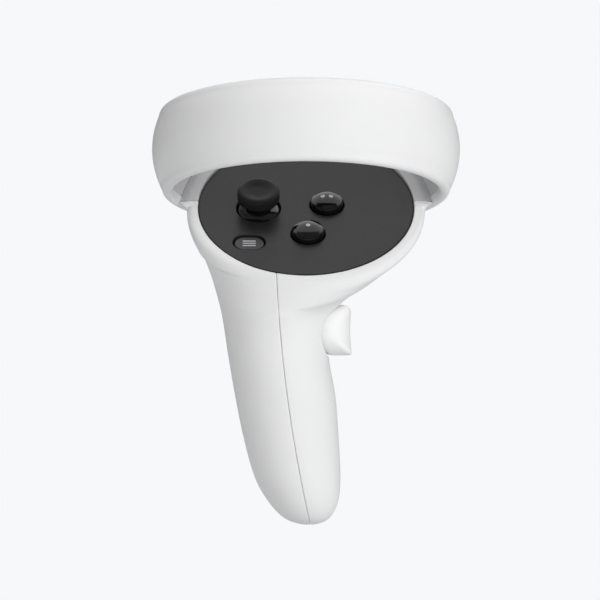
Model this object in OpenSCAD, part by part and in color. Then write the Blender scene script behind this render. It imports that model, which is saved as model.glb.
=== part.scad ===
// Left-hand VR motion controller: a moulded grip handle that opens into a bowl-shaped head,
// a face plate with a thumbstick and three buttons, two triggers and a hollow tracking ring.
// Millimetres. +Z runs up the handle, -Y faces the user and +X is the user's right.
// The origin is on the handle's axis, at the middle of the hand's grip.

/* [Shell] */
// Wall thickness of the moulded housings
wall = 2; // [1.6:0.1:2.4]
// Place of the head, plate and ring to the right of the handle's axis
head_x = 6; // [5.5:0.1:6.5]
// Gap along the edges of the battery door
door_gap = 0.35; // [0.3:0.05:0.6]

/* [Face plate] */
// Radius of the face plate
plate_r = 31.5; // [30.5:0.1:31.6]
// Thickness of the face plate
plate_t = 1.6; // [1.2:0.1:2]
// Angle by which the plate faces the user
plate_tilt = 38.5; // [37:0.5:40]

/* [Tracking ring] */
// Largest outer radius of the ring
ring_r = 45; // [44.5:0.1:46]
// Inner radius of the ring
ring_bore_r = 38.9; // [38.8:0.1:39.4]
// Height of the ring's band
ring_h = 24.8; // [23:0.2:26]
// Angle by which the ring's near side is raised
ring_tilt = 13.5; // [12:0.5:15]
// Number of infrared lamps in the ring
led_count = 15; // [9:1:21]

/* [Thumbstick] */
// Radius of the thumbstick's cap
cap_r = 6.2; // [5.8:0.1:6.4]
// Height of the cap's rim above the plate
cap_top = 6.9; // [6.4:0.1:7.4]
// Radius of the dome that fills the socket
dome_r = 8.3; // [8.2:0.1:8.7]

/* [Buttons] */
// Radius of the two round buttons
button_r = 4.7; // [4.5:0.1:5.2]
// Height of a round button above the plate
button_rise = 3.3; // [2.8:0.1:3.4]
// Gap between a button and its hole
button_gap = 0.35; // [0.3:0.05:0.5]

/* [Triggers] */
// Width of the index trigger
trigger_w = 17; // [15:0.5:17.4]
// Radius of the trigger's hinge pin
pin_r = 1.2; // [1:0.05:1.3]
// Running clearance of a pin in a moving bore
running = 0.05; // [0.03:0.01:0.08]

/* [Battery] */
// Radius of an AA cell
cell_r = 7.25; // [7:0.05:7.25]
// Length of an AA cell with its nub
cell_l = 50.5; // [49.5:0.1:50.5]

/* [Hidden] */

shell_white = [0.93, 0.93, 0.92];
soft_black = [0.11, 0.11, 0.12];
gloss_black = [0.05, 0.05, 0.06];
plate_grey = [0.16, 0.16, 0.17];
board_green = [0.08, 0.30, 0.16];
steel = [0.75, 0.76, 0.78];
small = 0.02;

// Cross-sections of the handle and head, from the tip up to the rim of the head:
// [centre z, centre x, centre y, half width, half depth, tilt towards the user]
sections = [
    [-38.2, 6.8, 0, 2.2, 2.6, 0],
    [-37.3, 6.5, 0, 4.9, 5.8, 0],
    [-35.3, 6.0, 0, 7.6, 8.9, 0],
    [-32.0, 5.3, 0, 9.9, 11.5, 0],
    [-27.0, 4.1, 0, 11.9, 13.6, 0],
    [-19.0, 2.6, 0, 13.3, 15.3, 0],
    [-9.0, 1.1, 0, 14.2, 16.3, 0],
    [2.0, -0.5, 0, 14.7, 17.0, 0],
    [12.0, -2.1, 0, 14.8, 17.5, 0],
    [20.0, -2.1, 0.6, 16.0, 18.6, 3],
    [26.0, -1.8, 2.0, 17.5, 21.2, 10],
    [31.6, -0.1, 3.9, 20.7, 24.1, 18],
    [37.0, 1.7, 5.5, 24.1, 27.4, 26],
    [42.6, 3.4, 6.6, 27.8, 30.5, 32],
    [48.4, 5.0, 7.2, 31.9, 33.3, 36.5],
    [52.4, head_x, 7.3, 34.6, 34.6, 38.5],
    [54.2, head_x, 6.95, 34.6, 34.5, 38.5],
    [54.5, head_x, 6.82, 33.5, 33.4, 38.5]
];
section_points = 44;
cavity_first = 3;
cavity_last = 14;
ledge_inset = 5.6;

// The face plate's centre, on its outer face
plate_y = 6.9;
plate_z = 54.4;
// The ring's centre, and how far its outer face falls back from its fullest height
ring_z = 70.5;
ring_full_z = 1;
ring_bulge = 0.0215;
cover_wall = 1.7;

// Places on the plate: to the right, and up along its slope
stick_uv = [-13.9, 0];
upper_uv = [6.1, 1.6];
lower_uv = [0.6, -12.1];
menu_uv = [-16.6, -16.0];
// Depths below the plate's outer face
stick_depth = 6;
board_depth = 7.2;
board_t = 1.2;
flange_depth = 2;
flange_t = 1;
flange_w = 0.9;
hole_r = button_r + button_gap;
socket_r = dome_r + 0.4;

// The index trigger's middle and hinge, the handgrip button's hinge
trigger_x = 4;
trigger_pin_yz = [20, 42.5];
slot_w = trigger_w + 1.2;
trigger_wall = 2;
grip_pin_xy = [5.2, 9.6];
grip_y = 1;
grip_z = 18.7;
grip_half_h = 7.4;
grip_half_l = 9.9;
grip_bulge_xy = [7.4, 0.5];
grip_inner_r = 5.2;
grip_inner_x = 9.4;
grip_pin_r = 1;
arm_levels = [15, 20.8];
arm_end_xy = [14.4, 6.8];
arm_t = 1.6;
// Gap round a pin that is pressed into its bracket
press_fit = 0.01;

// The wrist-cord eyelet at the tip
eyelet_x = 9.6;
eyelet_y = 12.4;
eyelet_z = -33;
eyelet_bore_r = 1.5;
eyelet_t = 3;
eyelet_root_yz = [10.6, -32.6];
eyelet_root_r = 3;

// The cell leans with the handle
battery_lean = 4.5;
battery_x = 0.6;
battery_low = -27.5;
cradle_gap = 0.3;
cradle_t = 1;

module plate_frame(uv = [0, 0], rise = 0) {
    translate([head_x, plate_y, plate_z])
        rotate([plate_tilt, 0, 0])
            translate([uv[0], uv[1], rise])
                children();
}

module ring_frame() {
    translate([head_x, 0, ring_z])
        rotate([-ring_tilt, 0, 0])
            children();
}

module battery_frame(along = 0) {
    translate([battery_x, 0, 0])
        rotate([0, -battery_lean, 0])
            translate([0, 0, along])
                children();
}

// Turns a cylinder that stands on z into one that lies along x
module along_x(x, y, z) {
    translate([x, y, z])
        rotate([0, 90, 0])
            children();
}

// ---- Handle and head ----

function ellipse(a, b) = [
    for (i = [0:section_points - 1])
        let (t = 360 * i / section_points) [a * cos(t), b * sin(t)]
];

module section_disc(s, inset) {
    translate([s[1], s[2], s[0]])
        rotate([s[5], 0, 0])
            linear_extrude(small)
                polygon(ellipse(s[3] - inset, s[4] - inset));
}

module outer_form() {
    for (i = [0:len(sections) - 2])
        hull() {
            section_disc(sections[i], 0);
            section_disc(sections[i + 1], 0);
        }
}

function cavity_inset(i) = i < cavity_last ? wall : ledge_inset;

module cavity_form() {
    for (i = [cavity_first:len(sections) - 2])
        hull() {
            section_disc(sections[i], cavity_inset(i));
            section_disc(sections[i + 1], cavity_inset(i + 1));
        }
}

// The line where the door meets the housing, which leans right towards the tip
function seam_x(z) = 0.47 - 0.131 * z + 0.00125 * z * z;

// The door's rear edge runs from beside the ring down and back to the tip: [y, z]
door_low = -42;
door_high = 60;
door_rear = [[7.6, door_high], [7.6, 48], [18, 18], [30, 0], [30, door_low]];

// The space left of the seam and in front of the door's rear edge
module door_space(gap) {
    far = 40;
    intersection() {
        translate([0, far, 0])
            rotate([90, 0, 0])
                linear_extrude(2 * far)
                    polygon(concat(
                        [for (z = [door_low:4:door_high]) [seam_x(z) - gap, z]],
                        [[-far, door_high], [-far, door_low]]));
        translate([-far, 0, 0])
            rotate([90, 0, 90])
                linear_extrude(2 * far)
                    polygon(concat(
                        [[-far, door_low], [-far, door_high]],
                        [for (p = door_rear) [p[0] - gap, p[1]]]));
    }
}

// Room for the face plate, down to the ledge that it lies on
module plate_recess() {
    plate_gap = 0.15;
    plate_frame([0, 0], -plate_t)
        cylinder(r = plate_r + plate_gap, h = 12, $fn = 96);
}

// Joins the head to the inside of the ring behind the plate
module ring_shoulder() {
    joint_gap = 0.05;
    below_ring_top = 1.4;
    far = 50;
    intersection() {
        ring_frame()
            translate([0, 0, -ring_h / 2])
                cylinder(r = ring_bore_r - joint_gap, h = ring_h - below_ring_top, $fn = 96);
        plate_frame([0, 0], -far)
            translate([-far, -far, 0])
                cube([2 * far, 2 * far, far]);
    }
}

module trigger_slot() {
    slot_start_y = 12;
    slot_low = 20.5;
    slot_h = 27.1;
    translate([trigger_x - slot_w / 2, slot_start_y, slot_low])
        cube([slot_w, 30, slot_h]);
}

// The handgrip button's oval outline seen from the right, as a bar that runs to the right.
// It can be made taller, and longer, at both ends.
module grip_block(taller, longer) {
    along_x(4, grip_y, grip_z)
        scale([grip_half_h + taller, grip_half_l + longer, 1])
            cylinder(r = 1, h = 30, $fn = 96);
}

// The root of the wrist-cord eyelet, which is bonded into the housing
module eyelet_root() {
    along_x(eyelet_x - eyelet_t / 2, eyelet_root_yz[0], eyelet_root_yz[1])
        cylinder(r = eyelet_root_r, h = eyelet_t, $fn = 32);
}

module main_housing() {
    color(shell_white)
        difference() {
            union() {
                outer_form();
                ring_shoulder();
            }
            cavity_form();
            plate_recess();
            door_space(0);
            trigger_slot();
            grip_block(0.5, 1.2);
            eyelet_root();
        }
}

module battery_door() {
    color(shell_white)
        intersection() {
            difference() {
                outer_form();
                cavity_form();
                plate_recess();
            }
            door_space(door_gap);
        }
}

// A small lug at the tip for a wrist cord
module lanyard_eyelet() {
    eyelet_r = 2.7;
    color(shell_white)
        difference() {
            hull() {
                along_x(eyelet_x - eyelet_t / 2, eyelet_y, eyelet_z)
                    cylinder(r = eyelet_r, h = eyelet_t, $fn = 32);
                eyelet_root();
            }
            along_x(eyelet_x - eyelet_t, eyelet_y, eyelet_z)
                cylinder(r = eyelet_bore_r, h = 2 * eyelet_t, $fn = 40);
        }
}

// ---- Face plate and controls ----

// A flat form with round ends, as wide as it is told and centred on z
module stadium(length, width, h) {
    half = (length - width) / 2;
    for (side = [-1, 1])
        translate([side * half, 0, 0])
            cylinder(r = width / 2, h = h, $fn = 48);
    translate([-half, -width / 2, 0])
        cube([2 * half, width, h]);
}

menu_l = 8.8;
menu_w = 6.2;

module face_plate() {
    color(plate_grey)
        difference() {
            plate_frame([0, 0], -plate_t)
                cylinder(r = plate_r, h = plate_t, $fn = 128);
            plate_frame(stick_uv, -stick_depth)
                sphere(r = socket_r, $fn = 64);
            for (uv = [upper_uv, lower_uv])
                plate_frame(uv, -plate_t - 1)
                    cylinder(r = hole_r, h = plate_t + 2, $fn = 64);
            plate_frame(menu_uv, -plate_t - 1)
                stadium(menu_l + 2 * button_gap, menu_w + 2 * button_gap, plate_t + 2);
        }
}

// A round button: a domed cap, a straight skirt and the flange that keeps it in
module round_button(uv) {
    dome_base_rise = 1.4;
    dome_h = button_rise - dome_base_rise;
    sphere_r = (button_r * button_r + dome_h * dome_h) / (2 * dome_h);
    color(gloss_black)
        plate_frame(uv) {
            translate([0, 0, -flange_depth - flange_t])
                cylinder(r = button_r, h = flange_depth + flange_t + dome_base_rise, $fn = 64);
            translate([0, 0, -flange_depth - flange_t])
                cylinder(r = button_r + flange_w, h = flange_t, $fn = 64);
            intersection() {
                translate([0, 0, dome_base_rise - small])
                    cylinder(r = button_r, h = dome_h + 1, $fn = 64);
                translate([0, 0, button_rise - sphere_r])
                    sphere(r = sphere_r, $fn = 96);
            }
        }
}

module upper_button() {
    round_button(upper_uv);
}

module lower_button() {
    round_button(lower_uv);
}

// The menu button lies a little below the plate's face
menu_recess = 0.5;

module menu_button() {
    color(plate_grey)
        plate_frame(menu_uv, -flange_depth - flange_t) {
            stadium(menu_l, menu_w, flange_depth + flange_t - menu_recess);
            stadium(menu_l + 2 * flange_w, menu_w + 2 * flange_w, flange_t);
        }
}

// A rubber key dome on the button board, which buckles when its button goes down
module key_dome(uv) {
    foot_r = 2.6;
    foot_t = 0.6;
    low_r = 2.2;
    top_r = 1.4;
    gap_under_button = 0.05;
    color("dimgray")
        plate_frame(uv, -board_depth) {
            cylinder(r = foot_r, h = foot_t, $fn = 40);
            cylinder(r1 = low_r, r2 = top_r,
                h = board_depth - flange_depth - flange_t - gap_under_button, $fn = 40);
        }
}

module upper_dome() {
    key_dome(upper_uv);
}

module lower_dome() {
    key_dome(lower_uv);
}

module menu_dome() {
    key_dome(menu_uv);
}

// ---- Boards in the head ----

stick_box = 13.6;
board_r = 23.4;
board_v = -4;
screw_uv = [[15, 9], [-1, 15], [15, -15], [-8, -22]];
screw_r = 0.8;

module button_board() {
    stick_window = [18, 16];
    screw_gap = 0.05;
    color(board_green)
        difference() {
            plate_frame([0, board_v], -board_depth - board_t)
                cylinder(r = board_r, h = board_t, $fn = 96);
            plate_frame(stick_uv, -board_depth - board_t - 1)
                translate([-stick_window[0] / 2, -stick_window[1] / 2, 0])
                    cube([stick_window[0], stick_window[1], board_t + 2]);
            for (uv = screw_uv)
                plate_frame(uv, -board_depth - board_t - 1)
                    cylinder(r = screw_r + screw_gap, h = board_t + 2, $fn = 32);
        }
}

// Four identical screws through the button board
module button_screws() {
    shank_l = 4;
    head_r = 1.5;
    head_h = 1;
    color(steel)
        for (uv = screw_uv)
            plate_frame(uv, -board_depth - board_t) {
                cylinder(r = screw_r, h = shank_l, $fn = 32);
                translate([0, 0, -head_h])
                    cylinder(r = head_r, h = head_h, $fn = 32);
            }
}

main_board_depth = 13.4;

module main_board() {
    corner_uv = [-17, -29];
    size_uv = [20.5, 18];
    hole_u = [-14.5, 1];
    hole_v = -13.5;
    color(board_green)
        plate_frame([0, 0], -main_board_depth - board_t)
            difference() {
                translate(corner_uv)
                    cube([size_uv[0], size_uv[1], board_t]);
                for (u = hole_u)
                    translate([u, hole_v, -1])
                        cylinder(r = 1, h = board_t + 2, $fn = 32);
            }
}

module radio_shield() {
    corner_uv = [-13, -26];
    color(steel)
        plate_frame(corner_uv, -main_board_depth)
            cube([12, 8, 1.6]);
}

module haptic_motor() {
    motor_uv = [12, 3];
    motor_r = 4;
    motor_t = 3.2;
    color(steel)
        plate_frame(motor_uv, -board_depth - board_t - motor_t)
            cylinder(r = motor_r, h = motor_t, $fn = 64);
}

// ---- Thumbstick ----

yoke_half = 4.5;
yoke_wall = 1.3;
yoke_h = 2.4;
trunnion_r = 0.8;
hub_r = 2.1;
post_r = 1.2;
post_gap = 0.05;
// Height above the plate at which the cap's neck stands on the dome's neck
neck_top = 2.6;
neck_r = 2.6;
cap_t = 4.2;
// The post's end above the joint's centre, blind in the cap
post_top = stick_depth + cap_top - 1.2;

module stick_frame() {
    plate_frame(stick_uv, -stick_depth)
        children();
}

// The fixed base, with two posts that carry the yoke's trunnions
module stick_base() {
    base_top = -3.6;
    base_h = 3.2;
    well_r = 4.6;
    well_depth = 2.7;
    bearing_x = 5.7;
    bearing_t = 1.4;
    bearing_w = 3.2;
    bearing_top = 1.3;
    color(soft_black)
        stick_frame()
            difference() {
                union() {
                    translate([-stick_box / 2, -stick_box / 2, base_top - base_h])
                        cube([stick_box, stick_box, base_h]);
                    for (side = [-1, 1])
                        translate([side * bearing_x - bearing_t / 2, -bearing_w / 2, base_top - 1])
                            cube([bearing_t, bearing_w, bearing_top - base_top + 1]);
                }
                translate([0, 0, base_top - well_depth])
                    cylinder(r = well_r, h = 6, $fn = 48);
                for (side = [-1, 1])
                    along_x(side * bearing_x - bearing_t, 0, 0)
                        cylinder(r = trunnion_r + running, h = 2 * bearing_t, $fn = 32);
            }
}

// The outer gimbal frame, which rocks about the plate's sideways axis
module stick_yoke() {
    inner = yoke_half - yoke_wall;
    trunnion_reach = 6.3;
    color("dimgray")
        stick_frame()
            difference() {
                union() {
                    translate([-yoke_half, -yoke_half, -yoke_h / 2])
                        cube([2 * yoke_half, 2 * yoke_half, yoke_h]);
                    along_x(-trunnion_reach, 0, 0)
                        cylinder(r = trunnion_r, h = 2 * trunnion_reach, $fn = 32);
                }
                translate([-inner, -inner, -yoke_h])
                    cube([2 * inner, 2 * inner, 2 * yoke_h]);
                translate([0, yoke_half + 1, 0])
                    rotate([90, 0, 0])
                        cylinder(r = trunnion_r + running, h = 2 * yoke_half + 2, $fn = 32);
            }
}

// The inner gimbal hub, which rocks in the yoke and guides the post
module stick_hub() {
    hub_h = 3.2;
    trunnion_reach = yoke_half - 0.1;
    color("gray")
        stick_frame()
            difference() {
                union() {
                    translate([0, 0, -hub_h / 2])
                        cylinder(r = hub_r, h = hub_h, $fn = 48);
                    translate([0, trunnion_reach, 0])
                        rotate([90, 0, 0])
                            cylinder(r = trunnion_r, h = 2 * trunnion_reach, $fn = 32);
                }
                translate([0, 0, -4])
                    cylinder(r = post_r + post_gap, h = 8, $fn = 48);
            }
}

module stick_post() {
    post_low = -2.2;
    color(steel)
        stick_frame()
            translate([0, 0, post_low])
                cylinder(r = post_r, h = post_top - post_low, $fn = 48);
}

// The dark dome that closes the socket at every tilt
module stick_dome() {
    dome_low = 3;
    dome_wall = 1.2;
    color(soft_black)
        stick_frame()
            difference() {
                union() {
                    intersection() {
                        difference() {
                            sphere(r = dome_r, $fn = 96);
                            sphere(r = dome_r - dome_wall, $fn = 96);
                        }
                        translate([0, 0, dome_low])
                            cylinder(r = dome_r + 1, h = dome_r, $fn = 48);
                    }
                    translate([0, 0, dome_r - 1])
                        cylinder(r = neck_r, h = stick_depth + neck_top - dome_r + 1, $fn = 48);
                }
                translate([0, 0, -1])
                    cylinder(r = post_r, h = 20, $fn = 48);
            }
}

// The rubber cap: a thick disc with round edges and a dished top, on a short neck
module stick_cap() {
    base = stick_depth + neck_top;
    rim = stick_depth + cap_top;
    edge_r = 1.35;
    color(soft_black)
        stick_frame()
            rotate_extrude($fn = 96)
                polygon(concat(
                    [[post_r, base], [neck_r, base], [neck_r + 0.4, rim - cap_t]],
                    [for (a = [-90:18:0])
                        [cap_r - edge_r + edge_r * cos(a), rim - cap_t + edge_r + edge_r * sin(a)]],
                    [for (a = [0:18:90])
                        [cap_r - edge_r + edge_r * cos(a), rim - edge_r + edge_r * sin(a)]],
                    [[cap_r - 2.3, rim - 0.3], [2.8, rim - 0.8], [0, rim - 0.9],
                        [0, post_top], [post_r, post_top]]));
}

// The tactile switch under the post
module stick_switch() {
    switch_w = 5.2;
    plunger_r = 1.2;
    color("gray")
        stick_frame()
            translate([0, 0, -6.3]) {
                translate([-switch_w / 2, -switch_w / 2, 0])
                    cube([switch_w, switch_w, 1.6]);
                cylinder(r = plunger_r, h = 3.3, $fn = 40);
            }
}

// ---- Tracking ring ----

function ring_outer(z) = ring_r - ring_bulge * pow(z - ring_full_z, 2);

ring_round = 1.2;
ring_split_r = ring_bore_r + cover_wall - 0.2;

// The outer cover wraps over the top and the lip of the ring
module ring_outer_cover() {
    half = ring_h / 2;
    straight = half - ring_round;
    step = straight / 7;
    outside = [for (z = [-straight:step:straight + small]) [ring_outer(z), z]];
    top_r = ring_outer(straight) - ring_round;
    low_r = ring_outer(-straight) - ring_round;
    inside = [
        for (z = [straight - 1:-step:-straight + 1])
            [max(ring_split_r + 0.1, ring_outer(z) - cover_wall), z]
    ];
    color(shell_white)
        ring_frame()
            rotate_extrude($fn = 128)
                polygon(concat(
                    outside,
                    [for (a = [30:30:90])
                        [top_r + ring_round * cos(a), straight + ring_round * sin(a)]],
                    [[ring_split_r + 0.1, half], [ring_split_r + 0.1, straight - 1]],
                    inside,
                    [[ring_split_r + 0.1, -straight + 1], [ring_split_r + 0.1, -half]],
                    [for (a = [-90:30:-30])
                        [low_r + ring_round * cos(a), -straight + ring_round * sin(a)]]));
}

module ring_inner_cover() {
    color([0.86, 0.86, 0.86])
        ring_frame()
            translate([0, 0, -ring_h / 2 + 0.2])
                difference() {
                    cylinder(r = ring_split_r, h = ring_h - 0.4, $fn = 128);
                    translate([0, 0, -1])
                        cylinder(r = ring_bore_r, h = ring_h + 2, $fn = 128);
                }
}

flex_r = ring_split_r + 0.1;
flex_t = 0.25;
flex_w = 8;
flex_span = 330;

module led_flex_strip() {
    color("darkorange")
        ring_frame()
            rotate([0, 0, 90 - flex_span / 2])
                rotate_extrude(angle = flex_span, $fn = 128)
                    translate([flex_r, -flex_w / 2])
                        square([flex_t, flex_w]);
}

// One group of identical lamps, spread along the flexible strip in two staggered rows
module infrared_leds() {
    lamp_w = 1.6;
    lamp_t = 0.8;
    row_z = [1.2, -2.8];
    color("lavender")
        ring_frame()
            for (i = [0:led_count - 1])
                rotate([0, 0, 90 + flex_span * ((i + 0.5) / led_count - 0.5)])
                    translate([flex_r + flex_t, -lamp_w / 2, row_z[i % 2]])
                        cube([lamp_t, lamp_w, lamp_w]);
}

// ---- Index trigger ----

// The trigger's finger face from top to tip, as round corners: [y, z, radius]
paddle = [[30.6, 44.8, 1.6], [34.2, 39, 2.6], [34.4, 32.4, 2.6], [33, 26.4, 1.8]];
// The matching corners where its cheeks run into the housing
cheek_root = [[20, 42.5, 2.8], [22.6, 38, 2], [23.4, 32, 1.6], [24.4, 26.8, 1.4]];

module trigger_corner(c, w, shrink, shift) {
    along_x(trigger_x - w / 2, c[0] - shift, c[1])
        cylinder(r = c[2] - shrink, h = w, $fn = 32);
}

module trigger_form(w, shrink, shift) {
    for (i = [0:2])
        hull()
            for (c = [paddle[i], paddle[i + 1], cheek_root[i], cheek_root[i + 1]])
                trigger_corner(c, w, shrink, shift);
}

// A hollow scoop: its two cheeks hang on the pin
module index_trigger() {
    color(shell_white)
        difference() {
            trigger_form(trigger_w, 0, 0);
            trigger_form(trigger_w - 2 * trigger_wall, 0.2, trigger_wall + 0.4);
            translate([trigger_x - trigger_w / 2 + trigger_wall, 10, 20])
                cube([trigger_w - 2 * trigger_wall, 16.5, 30]);
            along_x(trigger_x - 10, trigger_pin_yz[0], trigger_pin_yz[1])
                cylinder(r = pin_r + running, h = 20, $fn = 40);
        }
}

module trigger_pin() {
    color(steel)
        along_x(trigger_x - trigger_w / 2, trigger_pin_yz[0], trigger_pin_yz[1])
            cylinder(r = pin_r, h = trigger_w, $fn = 40);
}

// A bracket on the housing, with an ear inside each of the trigger's cheeks
module trigger_bracket() {
    y = trigger_pin_yz[0];
    z = trigger_pin_yz[1];
    ear_t = 1.8;
    ear_l = 4.4;
    web_h = 3.4;
    ear_r = 2.2;
    web_t = 1.4;
    reach = trigger_w / 2 - trigger_wall - 0.4;
    color("dimgray")
        difference() {
            union() {
                for (x = [trigger_x - reach, trigger_x + reach - ear_t]) {
                    along_x(x, y, z)
                        cylinder(r = ear_r, h = ear_t, $fn = 40);
                    translate([x, y - ear_l, z - web_h / 2])
                        cube([ear_t, ear_l, web_h]);
                }
                translate([trigger_x - reach, y - ear_l - 1, z - web_h / 2])
                    cube([2 * reach, web_t, web_h]);
            }
            along_x(trigger_x - 10, y, z)
                cylinder(r = pin_r + press_fit, h = 20, $fn = 40);
        }
}

// A torsion spring: close turns round the pin, and one straight leg at each end
module torsion_spring(coil_r, wire_r, turns, leg, turn_back) {
    pitch = 2.2 * wire_r;
    for (i = [0:turns - 1])
        translate([0, 0, (i - (turns - 1) / 2) * pitch])
            rotate_extrude($fn = 48)
                translate([coil_r, 0])
                    circle(r = wire_r, $fn = 16);
    for (side = [-1, 1])
        translate([0, 0, side * (turns - 1) / 2 * pitch])
            rotate([0, 0, side * turn_back])
                rotate([0, 90, 0])
                    translate([0, 0, coil_r])
                        cylinder(r = wire_r * 0.9, h = leg, $fn = 16);
}

module trigger_spring() {
    color(steel)
        along_x(trigger_x, trigger_pin_yz[0], trigger_pin_yz[1])
            rotate([0, 0, 10])
                torsion_spring(1.9, 0.3, 5, 4.5, 60);
}

module trigger_magnet() {
    color(steel)
        along_x(trigger_x - trigger_w / 2 + trigger_wall, 25, 40)
            cylinder(r = 1.4, h = 0.9, $fn = 40);
}

module trigger_sensor() {
    color(board_green)
        translate([trigger_x - 4, 13.4, 37.4])
            cube([8, 0.8, 6]);
}

// ---- Handgrip button ----

// Radius of the button's face about an upright axis, hollowed a little where the finger lies
function grip_face_r(z) = 11.5 + 0.012 * pow(z - grip_z, 2);

module grip_button() {
    px = grip_pin_xy[0];
    py = grip_pin_xy[1];
    low = grip_z - grip_half_h - 0.2;
    high = grip_z + grip_half_h + 0.2;
    face_levels = [for (i = [0:10]) low + (high - low) * i / 10];
    arm_boss_r = 2;
    arm_end_r = 1.6;
    color(shell_white)
        difference() {
            union() {
                intersection() {
                    grip_block(0, 0);
                    translate([grip_bulge_xy[0], grip_bulge_xy[1], 0])
                        rotate_extrude($fn = 96)
                            polygon(concat(
                                [[grip_inner_r, high], [grip_inner_r, low]],
                                [for (z = face_levels) [grip_face_r(z), z]]));
                    translate([grip_inner_x, -20, 0])
                        cube([20, 40, 40]);
                }
                for (z = arm_levels)
                    hull() {
                        translate([px, py, z])
                            cylinder(r = arm_boss_r, h = arm_t, $fn = 32);
                        translate([arm_end_xy[0], arm_end_xy[1], z])
                            cylinder(r = arm_end_r, h = arm_t, $fn = 32);
                    }
            }
            translate([px, py, 0])
                cylinder(r = grip_pin_r + running, h = 40, $fn = 40);
        }
}

// Levels of the undersides of the bracket's two eyes, and their thickness
eye_levels = [9.6, 25];
eye_t = 1.6;

module grip_pin() {
    pin_overhang = 0.2;
    pin_low = eye_levels[0] - pin_overhang;
    pin_high = eye_levels[1] + eye_t;
    color(steel)
        translate([grip_pin_xy[0], grip_pin_xy[1], pin_low])
            cylinder(r = grip_pin_r, h = pin_high - pin_low, $fn = 40);
}

module grip_bracket() {
    px = grip_pin_xy[0];
    py = grip_pin_xy[1];
    eye_r = 1.9;
    web_x = 1.2;
    web_t = 1.4;
    web_w = 2;
    color("dimgray")
        difference() {
            union() {
                for (z = eye_levels) {
                    translate([px, py, z])
                        cylinder(r = eye_r, h = eye_t, $fn = 40);
                    translate([web_x, py - 0.4, z])
                        cube([px - web_x, web_w, eye_t]);
                }
                translate([web_x, py - 0.4, eye_levels[0]])
                    cube([web_t, web_w, eye_levels[1] + eye_t - eye_levels[0]]);
            }
            translate([px, py, 0])
                cylinder(r = grip_pin_r + press_fit, h = 40, $fn = 40);
        }
}

module grip_spring() {
    color(steel)
        translate([grip_pin_xy[0], grip_pin_xy[1], grip_z])
            rotate([0, 0, 50])
                torsion_spring(1.6, 0.3, 4, 2.6, 80);
}

module grip_magnet() {
    color(steel)
        along_x(10.6, 0, grip_z)
            cylinder(r = 1.5, h = 1.55, $fn = 40);
}

module grip_sensor() {
    color(board_green)
        translate([8.2, -3, 12])
            cube([0.8, 6, 12]);
}

// ---- Battery ----

module battery_cradle() {
    inner_r = cell_r + cradle_gap;
    low = battery_low - 4.2;
    length = cell_l + 5.4;
    end_t = 0.8;
    open_to_x = 3;
    color("dimgray")
        battery_frame(low)
            difference() {
                cylinder(r = inner_r + cradle_t, h = length, $fn = 64);
                translate([0, 0, end_t])
                    cylinder(r = inner_r, h = length - 2 * end_t, $fn = 64);
                translate([open_to_x - 33, -20, -1])
                    cube([33, 40, length + 2]);
            }
}

module aa_battery() {
    nub_r = 2.7;
    nub_l = 1;
    body_l = cell_l - nub_l;
    color("darkslategray")
        battery_frame(battery_low) {
            cylinder(r = cell_r, h = body_l, $fn = 96);
            translate([0, 0, body_l])
                cylinder(r = nub_r, h = nub_l, $fn = 48);
        }
}

// The negative contact: a plate and a cone of wire turns that presses on the cell
module spring_contact() {
    turns = 4;
    wire_r = 0.35;
    low_turn_r = 4.6;
    pitch = 0.85;
    narrowing = 0.8;
    color(steel)
        battery_frame(battery_low - 3.4) {
            translate([3.2, -3, 0])
                cube([2.6, 6, 0.4]);
            for (i = [0:turns - 1])
                translate([0, 0, wire_r + i * pitch])
                    rotate_extrude($fn = 40)
                        translate([low_turn_r - narrowing * i, 0])
                            circle(r = wire_r, $fn = 16);
        }
}

module plate_contact() {
    color(steel)
        battery_frame(battery_low + cell_l)
            translate([3.1, -3, 0])
                cube([3.6, 6, 0.4]);
}

// The two leads from the contacts to the main board, bundled along the cradle
module battery_wires() {
    wire_r = 0.6;
    half_apart = 0.7;
    color("firebrick")
        battery_frame(battery_low - 3)
            for (side = [-1, 1])
                translate([cell_r + cradle_gap + cradle_t + 0.7, side * half_apart, 0])
                    cylinder(r = wire_r, h = cell_l - 16, $fn = 24);
}

main_housing();
battery_door();
face_plate();
lanyard_eyelet();
ring_outer_cover();
ring_inner_cover();
led_flex_strip();
infrared_leds();
button_board();
button_screws();
main_board();
radio_shield();
haptic_motor();
upper_button();
lower_button();
menu_button();
upper_dome();
lower_dome();
menu_dome();
stick_base();
stick_yoke();
stick_hub();
stick_post();
stick_dome();
stick_cap();
stick_switch();
index_trigger();
trigger_pin();
trigger_bracket();
trigger_spring();
trigger_magnet();
trigger_sensor();
grip_button();
grip_pin();
grip_bracket();
grip_spring();
grip_magnet();
grip_sensor();
battery_cradle();
aa_battery();
spring_contact();
plate_contact();
battery_wires();
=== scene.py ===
"""Looks of the left-hand motion controller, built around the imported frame.

Moulded parts are meshed from distance functions: each says how far a point is outside the part, in
millimetres, so that parts join, split and round off smoothly. Round parts are turned from an outline.
"""

import math

import bmesh
import bpy
import numpy as np
import openvdb
from mathutils import Matrix, Vector


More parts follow.
